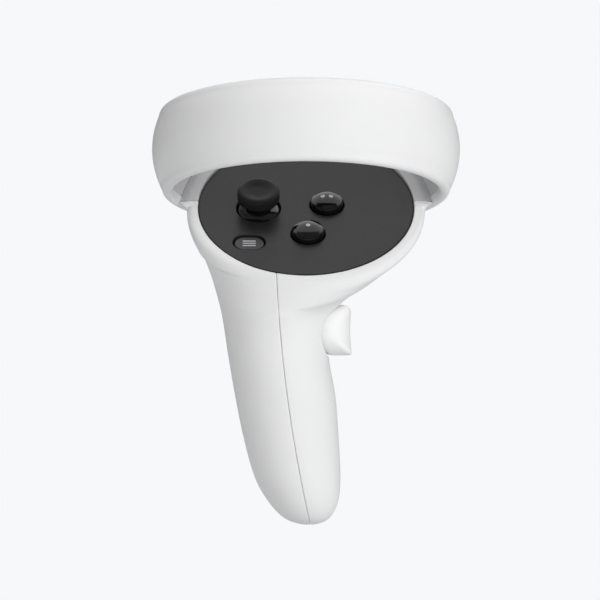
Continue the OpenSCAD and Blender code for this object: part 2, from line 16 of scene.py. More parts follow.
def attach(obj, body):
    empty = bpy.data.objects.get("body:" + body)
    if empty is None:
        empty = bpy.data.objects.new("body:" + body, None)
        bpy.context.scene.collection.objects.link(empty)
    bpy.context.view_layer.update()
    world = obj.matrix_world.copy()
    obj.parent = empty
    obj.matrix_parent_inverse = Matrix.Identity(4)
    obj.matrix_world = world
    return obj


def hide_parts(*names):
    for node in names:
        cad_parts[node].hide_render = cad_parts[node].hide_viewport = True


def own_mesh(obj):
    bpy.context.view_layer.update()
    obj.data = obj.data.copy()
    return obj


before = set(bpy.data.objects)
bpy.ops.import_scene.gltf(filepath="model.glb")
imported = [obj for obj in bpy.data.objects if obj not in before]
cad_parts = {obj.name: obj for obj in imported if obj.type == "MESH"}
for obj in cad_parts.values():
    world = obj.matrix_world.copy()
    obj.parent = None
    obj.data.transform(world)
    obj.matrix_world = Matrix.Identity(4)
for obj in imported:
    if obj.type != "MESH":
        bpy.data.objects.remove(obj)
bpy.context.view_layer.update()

# ---- Sizes in millimetres ----

MM = 0.001
WALL = 2.0
RIM_ROUND = 1.8
HEAD_X = 6.0
SHELL_STEP = 0.36
PART_STEP = 0.2

PLATE_R = 31.5
PLATE_T = 1.6
PLATE_GAP = 0.12
PLATE_TILT = math.radians(38.5)
PLATE_CENTRE = (HEAD_X, 6.9, 54.4)

RING_R = 45.0
RING_BORE_R = 38.9
RING_H = 24.8
RING_TILT = math.radians(13.5)
RING_CENTRE = (HEAD_X, 0.0, 70.5)
RING_FULL_Z = 1.0
RING_BULGE = 0.0215
RING_LIP = 2.8

STICK_UV = (-13.9, 0.0)
UPPER_UV = (6.1, 1.6)
LOWER_UV = (0.6, -12.1)
MENU_UV = (-16.6, -16.0)
STICK_DEPTH = 6.0
SOCKET_R = 8.7
DOME_R = 8.3
CAP_R = 6.2
CAP_TOP = 6.9
CAP_T = 4.2
NECK_R = 2.6
NECK_TOP = 2.6
POST_R = 1.2
BUTTON_R = 4.7
BUTTON_RISE = 3.3
BUTTON_GAP = 0.35
BOARD_DEPTH = 7.2
FLANGE_DEPTH = 2.0
FLANGE_T = 1.0
FLANGE_W = 0.9
MENU_L = 8.8
MENU_W = 6.2
MENU_RECESS = 0.5

TRIGGER_X = 4.0
TRIGGER_W = 17.0
TRIGGER_PIN = (20.0, 42.5)
PIN_R = 1.2
GRIP_PIN = (5.2, 9.6)
GRIP_Y = 1.0
GRIP_Z = 18.7
GRIP_HALF_H = 7.4
GRIP_HALF_L = 9.9
GRIP_BULGE = (7.4, 0.5)
GRIP_INNER_R = 5.2
GRIP_INNER_X = 9.4
EYELET = (9.6, 12.4, -33.0)
EYELET_R = 1.5
LUG_FOOT_Y = 10.6
LUG_FOOT_RISE = 0.4

BATTERY_LEAN = math.radians(4.5)
BATTERY_X = 0.6
BATTERY_LOW = -27.5
CELL_R = 7.25
CELL_L = 50.5

# Cross-sections of the handle and head, from the tip up to the rim:
# [centre z, centre x, centre y, half width, half depth, tilt towards the user in degrees]
SECTIONS = [
    [-38.2, 6.8, 0, 2.2, 2.6, 0],
    [-37.3, 6.5, 0, 4.9, 5.8, 0],
    [-35.3, 6.0, 0, 7.6, 8.9, 0],
    [-32.0, 5.3, 0, 9.9, 11.5, 0],
    [-27.0, 4.1, 0, 11.9, 13.6, 0],
    [-19.0, 2.6, 0, 13.3, 15.3, 0],
    [-9.0, 1.1, 0, 14.2, 16.3, 0],
    [2.0, -0.5, 0, 14.7, 17.0, 0],
    [12.0, -2.1, 0, 14.8, 17.5, 0],
    [20.0, -2.1, 0.6, 16.0, 18.6, 3],
    [26.0, -1.8, 2.0, 17.5, 21.2, 10],
    [31.6, -0.1, 3.9, 20.7, 24.1, 18],
    [37.0, 1.7, 5.5, 24.1, 27.4, 26],
    [42.6, 3.4, 6.6, 27.8, 30.5, 32],
    [48.4, 5.0, 7.2, 31.9, 33.3, 36.5],
    [52.4, HEAD_X, 7.2, 34.6, 34.6, 38.5],
    [54.5, HEAD_X, 6.82, 34.8, 34.6, 38.5],
]


# ---- Distances ----


def blend_union(a, b, reach):
    """The nearer of two forms, with a fillet where they meet."""
    share = np.clip(0.5 + 0.5 * (b - a) / reach, 0, 1)
    return b + (a - b) * share - reach * share * (1 - share)


def blend_meet(a, b, reach):
    """What two forms share, with its edges rounded."""
    return -blend_union(-a, -b, reach)


def blend_cut(a, b, reach):
    """The first form without the second, with its edges rounded."""
    return -blend_union(-a, b, reach)


def ease(share):
    """A smooth step from 0 to 1 as share goes from 0 to 1."""
    share = np.clip(share, 0, 1)
    return share * share * (3 - 2 * share)


def capsule(p, q, half, r):
    """Distance in a plane to a form with round ends that runs along p."""
    beyond = np.maximum(np.abs(p) - half, 0)
    return np.sqrt(beyond**2 + q**2) - r


def rounded_prism(outline, along, half, r):
    """An outline's distance made into a prism of half-length half, with rounded edges."""
    side = outline + r
    end = np.abs(along) - half + r
    outside = np.sqrt(np.maximum(side, 0) ** 2 + np.maximum(end, 0) ** 2)
    return outside + np.minimum(np.maximum(side, end), 0) - r


def block(x, y, z, low, high, r):
    """A box from corner low to corner high with rounded edges."""
    gaps = []
    for place, a, b in zip((x, y, z), low, high):
        gaps.append(np.abs(place - (a + b) / 2) - (b - a) / 2 + r)
    outside = np.sqrt(sum(np.maximum(gap, 0) ** 2 for gap in gaps))
    inside = np.minimum(np.maximum(np.maximum(gaps[0], gaps[1]), gaps[2]), 0)
    return outside + inside - r


def polygon_distance(p, q, corners):
    """Distance in a plane to a closed outline, negative inside it."""
    nearest = np.full(np.broadcast(p, q).shape, 1e9)
    inside = np.zeros(nearest.shape, bool)
    for (ax, ay), (bx, by) in zip(corners, np.roll(corners, -1, axis=0)):
        ex, ey = bx - ax, by - ay
        along = np.clip(((p - ax) * ex + (q - ay) * ey) / (ex * ex + ey * ey), 0, 1)
        nearest = np.minimum(nearest, (p - ax - along * ex) ** 2 + (q - ay - along * ey) ** 2)
        crosses = (ay > q) != (by > q)
        inside ^= crosses & (p < ax + (q - ay) * ex / (ey if ey else 1e-9))
    return np.where(inside, -1, 1) * np.sqrt(nearest)


def closed_curve(points, per_span=8):
    """A smooth closed line through the points."""
    points = np.array(points, float)
    before, after, beyond = (np.roll(points, k, axis=0) for k in (1, -1, -2))
    spans = []
    for t in np.arange(per_span) / per_span:
        spans.append(
            0.5 * (2 * points + (after - before) * t
                   + (2 * before - 5 * points + 4 * after - beyond) * t**2
                   + (3 * points - before - 3 * after + beyond) * t**3))
    return np.stack(spans, axis=1).reshape(-1, 2)


def spline(knots, values):
    """A natural cubic curve through the values, as a function of the knots' variable."""
    knots, values = np.array(knots, float), np.array(values, float)
    gap = np.diff(knots)
    last = len(knots) - 1
    system, load = np.eye(last + 1), np.zeros(last + 1)
    for i in range(1, last):
        system[i, i - 1:i + 2] = gap[i - 1], 2 * (gap[i - 1] + gap[i]), gap[i]
        load[i] = 6 * ((values[i + 1] - values[i]) / gap[i] - (values[i] - values[i - 1]) / gap[i - 1])
    bend = np.linalg.solve(system, load)

    def curve(t):
        i = np.clip(np.searchsorted(knots, t) - 1, 0, last - 1)
        a = (knots[i + 1] - t) / gap[i]
        b = 1 - a
        curved = ((a**3 - a) * bend[i] + (b**3 - b) * bend[i + 1]) * gap[i] ** 2 / 6
        return a * values[i] + b * values[i + 1] + curved

    return curve


# ---- The handle and head as one lofted form ----

levels = [s[0] for s in SECTIONS]
centre_x = spline(levels, [s[1] for s in SECTIONS])
centre_y = spline(levels, [s[2] for s in SECTIONS])
half_width_2 = spline(levels, [s[3] ** 2 for s in SECTIONS])
half_depth_2 = spline(levels, [s[4] ** 2 for s in SECTIONS])
tilt_at = spline(levels, [math.radians(s[5]) for s in SECTIONS])
BOTTOM, TOP = levels[0], levels[-1]


def above_level(t, y, z):
    """Height above the tilted section plane whose centre is at height t."""
    tilt = tilt_at(t)
    return (z - t) * np.cos(tilt) - (y - centre_y(t)) * np.sin(tilt)


LEVEL_STEP = 0.25
LEVEL_Y = np.arange(-36, 50, LEVEL_STEP)
LEVEL_Z = np.arange(-44, 90, LEVEL_STEP)
HALVINGS = 22


def solve_levels():
    """The level of the section plane through each point of a grid over y and z, by halving."""
    y, z = np.meshgrid(LEVEL_Y, LEVEL_Z, indexing="ij")
    low, high = np.full(y.shape, BOTTOM), np.full(y.shape, TOP)
    for _ in range(HALVINGS):
        middle = (low + high) / 2
        above = above_level(middle, y, z) > 0
        low = np.where(above, middle, low)
        high = np.where(above, high, middle)
    return (low + high) / 2


level_table = solve_levels()


def level_at(y, z):
    """The section level at a point, read from the table with linear interpolation."""
    p = np.clip((y - LEVEL_Y[0]) / LEVEL_STEP, 0, len(LEVEL_Y) - 1.001)
    q = np.clip((z - LEVEL_Z[0]) / LEVEL_STEP, 0, len(LEVEL_Z) - 1.001)
    i, j = p.astype(int), q.astype(int)
    a, b = p - i, q - j
    front = level_table[i, j] * (1 - b) + level_table[i, j + 1] * b
    rear = level_table[i + 1, j] * (1 - b) + level_table[i + 1, j + 1] * b
    return front * (1 - a) + rear * a


def loft_distance(x, y, z, inset=None):
    """Distance from the lofted form, or from the same form with each section made smaller."""
    t = level_at(y, z)
    tilt = tilt_at(t)
    less = 0 if inset is None else inset(t)
    a = np.sqrt(np.maximum(half_width_2(t), 1)) - less
    b = np.sqrt(np.maximum(half_depth_2(t), 1)) - less
    p = (x - centre_x(t)) / a
    q = ((y - centre_y(t)) * np.cos(tilt) + (z - t) * np.sin(tilt)) / b
    reach = np.sqrt(p**2 + q**2)
    slope = np.sqrt((p / a) ** 2 + (q / b) ** 2)
    around = np.where(slope > 1e-3, reach * (reach - 1) / np.maximum(slope, 1e-3), -np.minimum(a, b))
    if inset is not None:
        return around
    return blend_meet(around, np.maximum(above_level(TOP, y, z), BOTTOM - z), RIM_ROUND)


def cavity_inset(t):
    """The wall, which thickens below the rim into the ledge that carries the plate."""
    ledge, start, run = 3.6, 45.5, 5
    return WALL + ledge * ease((t - start) / run)


def cavity_distance(x, y, z):
    """The hollow in the handle and head, above its floor."""
    floor_z = -32.0
    return np.maximum(loft_distance(x, y, z, cavity_inset), floor_z - z)


def plate_place(x, y, z):
    """A point in the plate's own frame: to the right, up the slope, and out of the face."""
    c, s = math.cos(PLATE_TILT), math.sin(PLATE_TILT)
    dy, dz = y - PLATE_CENTRE[1], z - PLATE_CENTRE[2]
    return x - PLATE_CENTRE[0], dy * c + dz * s, dz * c - dy * s


def ring_place(x, y, z):
    """A point in the tracking ring's own frame."""
    c, s = math.cos(RING_TILT), math.sin(RING_TILT)
    dy, dz = y - RING_CENTRE[1], z - RING_CENTRE[2]
    return x - RING_CENTRE[0], dy * c - dz * s, dy * s + dz * c


def head_form(x, y, z):
    """The loft, with the crease under the rim at the left, which fades out to the right and back."""
    depth, width, reach = 0.36, 1.3, 8
    crease_y, crease_z, rise, run = 3, 42.7, 0.421, 0.907
    end_x, fade_x, end_y, fade_y = -9, 12, 15, 9
    below = (y - crease_y) * rise - (z - crease_z) * run
    fade = ease((end_x - x) / fade_x) * ease((end_y - y) / fade_y)
    step = 2 * ease(below / width + 0.5) - 1
    return loft_distance(x, y, z) + depth * fade * step * np.exp(-np.abs(below) / reach)


# The door's rear edge, from the rim down: a point in y and z on each straight stretch, and the
# direction that faces back from it
REAR_EDGE = [((7.6, 48), (1, 0)), ((7.6, 48), (0.945, 0.328)), ((18, 18), (0.832, 0.555))]


def rear_edge(y, z):
    """How far a point is behind the door's rear edge, which runs down and back to the tip."""
    upper, middle, lower = (
        (y - at_y) * back_y + (z - at_z) * back_z for (at_y, at_z), (back_y, back_z) in REAR_EDGE)
    return np.minimum(np.minimum(upper, middle), lower)


def seam_side(x, z):
    """How far a point is to the right of the seam between the door and the housing."""
    seam_x = 0.47 - 0.131 * z + 0.00125 * z**2
    lean_cos = 0.985
    return (x - seam_x) * lean_cos


def door_space(x, y, z):
    """The room in front of the rear edge and left of the seam, which is the door's."""
    return np.maximum(seam_side(x, z), rear_edge(y, z))


def plate_recess(x, y, z):
    """The seat that the plate lies in."""
    u, v, w = plate_place(x, y, z)
    return np.maximum(np.sqrt(u**2 + v**2) - PLATE_R - PLATE_GAP, -PLATE_T - w)


def trigger_slot(x, y, z):
    """The opening at the back that the index trigger moves in."""
    gap, corner_r = 0.6, 1.6
    half = TRIGGER_W / 2 + gap
    return block(x, y, z, (TRIGGER_X - half, 12, 20.5), (TRIGGER_X + half, 44, 47.6), corner_r)


def grip_outline(y, z, taller, longer):
    """The handgrip button's oval outline seen from the right."""
    a, b = GRIP_HALF_L + longer, GRIP_HALF_H + taller
    p, q = (y - GRIP_Y) / a, (z - GRIP_Z) / b
    reach = np.sqrt(p**2 + q**2)
    slope = np.sqrt((p / a) ** 2 + (q / b) ** 2)
    return np.where(slope > 1e-3, reach * (reach - 1) / np.maximum(slope, 1e-3), -b)


def eyelet_pocket(x, y, z):
    """The room for the lug's foot in the handle's tip."""
    pocket_r, half_width = 3.05, 1.55
    from_foot = np.sqrt((y - LUG_FOOT_Y) ** 2 + (z - EYELET[2] - LUG_FOOT_RISE) ** 2)
    return np.maximum(from_foot - pocket_r, np.abs(x - EYELET[0]) - half_width)


def ring_shoulder(x, y, z):
    """Joins the head to the inside of the ring behind the plate, level with the plate's face."""
    u, v, w = ring_place(x, y, z)
    gap, below_top = 0.05, 1.4
    column = np.sqrt(u**2 + v**2) - RING_BORE_R + gap
    height = np.maximum(-RING_H / 2 - w, w - RING_H / 2 + below_top)
    return np.maximum(blend_meet(column, height, 0.8), plate_place(x, y, z)[2])


def inside_ring(x, y, z):
    """The space in the ring's bore, from a little above its lower rim."""
    u, v, w = ring_place(x, y, z)
    into_wall, above_rim = 0.4, 0.7
    return np.maximum(np.sqrt(u**2 + v**2) - RING_BORE_R - into_wall, above_rim - RING_H / 2 - w)


def bare_housing(x, y, z):
    """The housing before its openings for the door, triggers and eyelet are cut."""
    below_top = 0.5
    form = blend_union(head_form(x, y, z), ring_shoulder(x, y, z), 3.2)
    form = blend_meet(form, ring_place(x, y, z)[2] - RING_H / 2 + below_top, 0.6)
    form = blend_cut(form, plate_recess(x, y, z), 0.5)
    return blend_cut(form, cavity_distance(x, y, z), 0.4)


def ring_deck(x, y, z):
    """The part of the housing inside the ring, split off to take a darker grey: painted shade where the
    ring shades it.
    """
    gap = 0.02
    form = blend_cut(bare_housing(x, y, z), door_space(x, y, z), 0.3)
    return np.maximum(form, inside_ring(x, y, z) + gap)


def main_housing(x, y, z):
    """The housing with all its openings, without the part inside the ring."""
    window_x = 4
    grip_window = np.maximum(grip_outline(y, z, taller=0.35, longer=1.1), window_x - x)
    form = blend_cut(bare_housing(x, y, z), trigger_slot(x, y, z), 1.1)
    form = blend_cut(form, grip_window, 0.7)
    form = blend_cut(form, door_space(x, y, z), 0.3)
    return np.maximum(np.maximum(form, -eyelet_pocket(x, y, z)), -inside_ring(x, y, z))


def battery_door(x, y, z):
    """The door lies a hair below the housing along the seam."""
    gap, sunk = 0.05, 0.03
    form = blend_cut(head_form(x, y, z) + sunk, plate_recess(x, y, z), 0.5)
    form = blend_cut(form, cavity_distance(x, y, z), 0.4)
    return blend_meet(form, door_space(x, y, z) + gap, 0.3)


# The index trigger's outline in y and z: down the finger face, round the tip and up the inside
TRIGGER_OUTLINE = closed_curve([
    (31.0, 46.3), (34.2, 43.2), (36.4, 39.0), (36.9, 34.2), (36.2, 29.6), (34.0, 25.4), (31.4, 24.6),
    (24.2, 25.4), (22.2, 31.0), (20.6, 37.0), (17.4, 41.6), (18.6, 45.2), (24.0, 46.6)])


def index_trigger(x, y, z):
    """A hollow scoop with two cheeks, dished a little across the finger face."""
    across = x - TRIGGER_X
    face_t, hollow_y, pin_gap = 2.6, 27, 0.05
    dish_depth, dish_width, dish_y, dish_run = 0.5, 5, 30, 6
    full = polygon_distance(y, z, TRIGGER_OUTLINE)
    towards_face = np.clip((y - dish_y) / dish_run, 0, 1)
    dish = dish_depth * towards_face * np.exp(-((across / dish_width) ** 2))
    form = rounded_prism(full + dish, across, TRIGGER_W / 2, 1.5)
    inner = polygon_distance(y + face_t, z, TRIGGER_OUTLINE)
    hollow = np.maximum(np.minimum(inner, y - hollow_y), np.abs(across) - TRIGGER_W / 2 + WALL)
    bore = np.sqrt((y - TRIGGER_PIN[0]) ** 2 + (z - TRIGGER_PIN[1]) ** 2) - PIN_R - pin_gap
    return blend_cut(blend_cut(form, hollow, 0.6), bore, 0.2)


def grip_button(x, y, z):
    """A thick curved paddle, hollowed where the finger lies, with two arms in to its hinge."""
    waist_r, flare, bore_r = 11.5, 0.012, 1.05
    arm_lows, arm_end, arm_r, arm_half = (15.0, 20.8), (14.4, 6.8), 1.8, 0.8
    face_r = waist_r + flare * (z - GRIP_Z) ** 2
    from_axis = np.sqrt((x - GRIP_BULGE[0]) ** 2 + (y - GRIP_BULGE[1]) ** 2)
    face = np.maximum(np.maximum(from_axis - face_r, GRIP_INNER_R - from_axis), GRIP_INNER_X - x)
    edge_r = 1.2 + 2.2 * ease((z - GRIP_Z) / 6)
    paddle = blend_meet(face, grip_outline(y, z, taller=0, longer=0), edge_r)
    reach = capsule_between(x, y, GRIP_PIN, arm_end, arm_r)
    lower_arm, upper_arm = (
        rounded_prism(reach, z - low - arm_half, arm_half, 0.25) for low in arm_lows)
    bore = np.sqrt((x - GRIP_PIN[0]) ** 2 + (y - GRIP_PIN[1]) ** 2) - bore_r
    return np.maximum(blend_union(paddle, np.minimum(lower_arm, upper_arm), 0.6), -bore)


def capsule_between(p, q, start, end, r):
    """Distance in a plane to a round-ended bar between two points."""
    ex, ey = end[0] - start[0], end[1] - start[1]
    along = np.clip(((p - start[0]) * ex + (q - start[1]) * ey) / (ex**2 + ey**2), 0, 1)
    return np.hypot(p - start[0] - along * ex, q - start[1] - along * ey) - r


def wrist_eyelet(x, y, z):
    """The lug at the tip, with the cord's hole through it."""
    lug_r, half_width, edge_r = 2.7, 1.5, 0.9
    lug = capsule_between(y, z, (LUG_FOOT_Y, EYELET[2] + LUG_FOOT_RISE), EYELET[1:], lug_r)
    form = rounded_prism(lug, x - EYELET[0], half_width, edge_r)
    hole = np.hypot(y - EYELET[1], z - EYELET[2]) - EYELET_R
    return blend_cut(form, hole, 0.6)


def face_plate(u, v, w):
    """The plate in its own frame, with every edge broken."""
    form = rounded_prism(np.hypot(u, v) - PLATE_R, w + PLATE_T / 2, PLATE_T / 2, 0.3)
    socket = np.sqrt((u - STICK_UV[0]) ** 2 + (v - STICK_UV[1]) ** 2 + (w + STICK_DEPTH) ** 2)
    form = blend_cut(form, socket - SOCKET_R, 0.5)
    for place in (UPPER_UV, LOWER_UV):
        hole = np.hypot(u - place[0], v - place[1]) - BUTTON_R - BUTTON_GAP
        form = blend_cut(form, hole, 0.4)
    slot = capsule(u - MENU_UV[0], v - MENU_UV[1], (MENU_L - MENU_W) / 2, MENU_W / 2 + BUTTON_GAP)
    return blend_cut(form, slot, 0.4)


def menu_cap(u, v, w):
    """The menu button, with the flange that holds it under the plate."""
    flange_w, edge_r = 0.8, 0.45
    half = (MENU_L - MENU_W) / 2
    across = capsule(u - MENU_UV[0], v - MENU_UV[1], half, MENU_W / 2)
    low = -FLANGE_DEPTH - FLANGE_T
    body = rounded_prism(across, w - (low - MENU_RECESS) / 2, (-MENU_RECESS - low) / 2, edge_r)
    flange = rounded_prism(across - flange_w, w - low - FLANGE_T / 2, FLANGE_T / 2, 0.2)
    return np.minimum(body, flange)


# ---- Meshes ----


def link_mesh(name, points, faces, normals=None):
    """A piece from points in millimetres in the row frame."""
    mesh = bpy.data.meshes.new(name)
    faces = faces.tolist() if isinstance(faces, np.ndarray) else faces
    mesh.from_pydata((np.asarray(points) * MM).tolist(), [], faces)
    mesh.polygons.foreach_set("use_smooth", [True] * len(mesh.polygons))
    if normals is not None:
        mesh.normals_split_custom_set_from_vertices(normals.tolist())
    piece = bpy.data.objects.new(name, mesh)
    bpy.context.scene.collection.objects.link(piece)
    return piece


def slope_at(points, distance, reach):
    """The distance function's gradient at each point."""
    columns = []
    for axis in range(3):
        ahead, behind = points.copy(), points.copy()
        ahead[:, axis] += reach
        behind[:, axis] -= reach
        columns.append((distance(*ahead.T) - distance(*behind.T)) / (2 * reach))
    return np.stack(columns, axis=1)


def shaped(name, distance, low, high, step, to_row=None):
    """A piece whose surface is where the distance function is zero inside the box low..high.

    The mesh's points are moved onto that surface, and its normals follow the function's slope.
    """
    far_outside, passes = 10.0, 3
    axes = [np.arange(low[k] - 2 * step, high[k] + 3 * step, step) for k in range(3)]
    field = distance(axes[0][:, None, None], axes[1][None, :, None], axes[2][None, None, :])
    grid = openvdb.FloatGrid(far_outside)
    grid.copyFromArray(np.ascontiguousarray(field, dtype=np.float32))
    points, faces = grid.convertToQuads(isovalue=0.0)
    points = points.astype(float) * step + np.array([axis[0] for axis in axes])
    for _ in range(passes):
        slope = slope_at(points, distance, reach=0.01)
        value = np.clip(distance(*points.T), -step, step)
        points -= slope * (value / np.maximum((slope**2).sum(axis=1), 0.05))[:, None]
    normals = slope_at(points, distance, reach=0.05)
    normals /= np.maximum(np.linalg.norm(normals, axis=1, keepdims=True), 1e-6)
    if to_row is not None:
        points, normals = to_row(points), to_row(normals, turn_only=True)
    return link_mesh(name, points, faces, normals)


def placer(centre, tilt_x, offset=(0, 0, 0), spin_y=0.0):
    """A function that carries points from a part's own frame to the row frame."""
    turn = np.array(Matrix.Rotation(tilt_x, 3, "X") @ Matrix.Rotation(spin_y, 3, "Y"))

    def carry(points, turn_only=False):
        if turn_only:
            return points @ turn.T
        return (points + np.array(offset)) @ turn.T + np.array(centre)

    return carry


def arc(centre, r, start, end, steps=6):
    """Points on an arc, angles in degrees."""
    angles = np.radians(np.linspace(start, end, steps + 1))
    return [(centre[0] + r * math.cos(a), centre[1] + r * math.sin(a)) for a in angles]


def turned(name, outline, to_row, steps=128):
    """A piece turned about its own z from a closed outline of (radius, height) points."""
    outline = np.array(outline, float)
    count = len(outline)
    angles = np.linspace(0, 2 * math.pi, steps, endpoint=False)
    rings = [
        np.stack([outline[:, 0] * math.cos(a), outline[:, 0] * math.sin(a), outline[:, 1]], axis=1)
        for a in angles]
    faces = []
    for i in range(steps):
        for j in range(count):
            a, b = i * count + j, i * count + (j + 1) % count
            c, d = (i + 1) % steps * count + (j + 1) % count, (i + 1) % steps * count + j
            faces.append((a, d, c, b))
    piece = link_mesh(name, to_row(np.concatenate(rings)), faces)
    tidy_mesh(piece)
    return piece


def tidy_mesh(piece, sharp_deg=32):
    """Joins doubled points, turns the faces outward and keeps sharp edges sharp."""
    work = bmesh.new()
    work.from_mesh(piece.data)
    bmesh.ops.remove_doubles(work, verts=work.verts, dist=1e-6)
    bmesh.ops.dissolve_degenerate(work, edges=work.edges, dist=1e-7)
    bmesh.ops.recalc_face_normals(work, faces=work.faces)
    for edge in work.edges:
        if len(edge.link_faces) == 2:
            edge.smooth = edge.calc_face_angle(0) < math.radians(sharp_deg)
    work.to_mesh(piece.data)
    work.free()


def wire(name, line, r, around=12):
    """A round wire along a line of points, closed at both ends."""
    line = np.array(line, float)
    along = np.gradient(line, axis=0)
    along /= np.linalg.norm(along, axis=1, keepdims=True)
    off_line = (0.3, 0.5, 0.8)
    side = np.cross(along[0], off_line)
    points, faces = [], []
    for place, direction in zip(line, along):
        side = side - direction * (side @ direction)
        side /= np.linalg.norm(side)
        up = np.cross(direction, side)
        for k in range(around):
            a = 2 * math.pi * k / around
            points.append(place + r * (side * math.cos(a) + up * math.sin(a)))
    for i in range(len(line) - 1):
        for k in range(around):
            a, b = i * around + k, i * around + (k + 1) % around
            faces.append((a, b, b + around, a + around))
    last = (len(line) - 1) * around
    faces.append(tuple(range(around))[::-1])
    faces.append(tuple(range(last, last + around)))
    piece = link_mesh(name, points, faces)
    tidy_mesh(piece, 50)
    return piece


# ---- Materials ----


def shader(name, colour, rough, metallic=0.0, coat=0.0, specular=0.5):
    """A material with its principled shader's plain values set, and its node tree."""
    made = bpy.data.materials.new(name)
    made.use_nodes = True
    made.diffuse_color = (*colour, 1)
    nodes = made.node_tree.nodes
    bsdf = nodes["Principled BSDF"]
    bsdf.inputs["Base Color"].default_value = (*colour, 1)
    bsdf.inputs["Roughness"].default_value = rough
    bsdf.inputs["Metallic"].default_value = metallic
    bsdf.inputs["Coat Weight"].default_value = coat
    bsdf.inputs["Coat Roughness"].default_value = 0.06
    bsdf.inputs["Specular IOR Level"].default_value = specular
    return made, bsdf


def noise(tree, size_mm, detail=3.0, stretch=(1, 1, 1)):
    """Noise with features of about that size, fixed to the piece."""
    place = tree.nodes.new("ShaderNodeTexCoord")
    scale = tree.nodes.new("ShaderNodeMapping")
    scale.inputs["Scale"].default_value = stretch
    texture = tree.nodes.new("ShaderNodeTexNoise")
    texture.inputs["Scale"].default_value = 1 / (size_mm * MM)
    texture.inputs["Detail"].default_value = detail
    tree.links.new(place.outputs["Object"], scale.inputs["Vector"])
    tree.links.new(scale.outputs["Vector"], texture.inputs["Vector"])
    return texture.outputs["Fac"]


def remap(tree, value, low, high, start=0.3, end=0.7):
    """The value spread from low to high."""
    node = tree.nodes.new("ShaderNodeMapRange")
    node.inputs["From Min"].default_value = start
    node.inputs["From Max"].default_value = end
    node.inputs["To Min"].default_value = low
    node.inputs["To Max"].default_value = high
    tree.links.new(value, node.inputs["Value"])
    return node.outputs["Result"]


def mix(tree, share, first, second):
    """One colour changing into another, by a share from 0 to 1."""
    node = tree.nodes.new("ShaderNodeMix")
    node.data_type = "RGBA"
    tree.links.new(share, node.inputs[0])
    for socket, value in ((node.inputs[6], first), (node.inputs[7], second)):
        if isinstance(value, tuple):
            socket.default_value = (*value, 1)
        else:
            tree.links.new(value, socket)
    return node.outputs[2]


def grain(tree, bsdf, size_mm, depth_mm, detail=3.0, stretch=(1, 1, 1)):
    """Fine surface relief of that size and depth."""
    bump = tree.nodes.new("ShaderNodeBump")
    bump.inputs["Distance"].default_value = depth_mm * MM
    bump.inputs["Strength"].default_value = 1.0
    tree.links.new(noise(tree, size_mm, detail, stretch), bump.inputs["Height"])
    tree.links.new(bump.outputs["Normal"], bsdf.inputs["Normal"])


def moulded(name, colour, rough, grain_mm=0.35, depth_mm=0.004, coat=0.0, shade=0.03, specular=0.5):
    """Moulded plastic or rubber: fine texture, and colour and gloss that drift slightly."""
    made, bsdf = shader(name, colour, rough, coat=coat, specular=specular)
    tree = made.node_tree
    drift = remap(tree, noise(tree, 14, 2), 0, 1)
    darker = tuple(c * (1 - shade) for c in colour)
    tree.links.new(mix(tree, drift, darker, colour), bsdf.inputs["Base Color"])
    gloss = remap(tree, noise(tree, 3.5, 4), rough - 0.04, rough + 0.05)
    tree.links.new(gloss, bsdf.inputs["Roughness"])
    grain(tree, bsdf, grain_mm, depth_mm)
    return made


def metal(name, colour, rough, stretch=(1, 1, 1)):
    """Drawn or stamped metal with fine scratches."""
    made, bsdf = shader(name, colour, rough, metallic=1.0)
    tree = made.node_tree
    gloss = remap(tree, noise(tree, 0.5, 4, stretch), rough - 0.1, rough + 0.14)
    tree.links.new(gloss, bsdf.inputs["Roughness"])
    drift = remap(tree, noise(tree, 2.5), 0, 1)
    darker = tuple(c * 0.82 for c in colour)
    tree.links.new(mix(tree, drift, darker, colour), bsdf.inputs["Base Color"])
    grain(tree, bsdf, 0.3, 0.003, 4, stretch)
    return made


def circuit_board():
    """Solder mask over copper tracks, with bare pads."""
    made, bsdf = shader("circuit_board", (0.03, 0.16, 0.08), 0.35)
    tree = made.node_tree
    place = tree.nodes.new("ShaderNodeTexCoord")
    tracks = tree.nodes.new("ShaderNodeTexBrick")
    tracks.inputs["Scale"].default_value = 1 / (9 * MM)
    tracks.inputs["Mortar Size"].default_value = 0.035
    tracks.inputs["Color1"].default_value = (0.02, 0.13, 0.06, 1)
    tracks.inputs["Color2"].default_value = (0.03, 0.17, 0.08, 1)
    tracks.inputs["Mortar"].default_value = (0.06, 0.27, 0.13, 1)
    pads = tree.nodes.new("ShaderNodeTexVoronoi")
    pads.inputs["Scale"].default_value = 1 / (2.6 * MM)
    tree.links.new(place.outputs["Object"], tracks.inputs["Vector"])
    tree.links.new(place.outputs["Object"], pads.inputs["Vector"])
    bare = remap(tree, pads.outputs["Distance"], 1, 0, start=0.14, end=0.16)
    tree.links.new(mix(tree, bare, tracks.outputs["Color"], (0.55, 0.42, 0.18)), bsdf.inputs["Base Color"])
    tree.links.new(remap(tree, bare, 0.4, 0.25, start=0, end=1), bsdf.inputs["Roughness"])
    bump = tree.nodes.new("ShaderNodeBump")
    bump.inputs["Distance"].default_value = 0.03 * MM
    tree.links.new(tracks.outputs["Fac"], bump.inputs["Height"])
    tree.links.new(bump.outputs["Normal"], bsdf.inputs["Normal"])
    return made


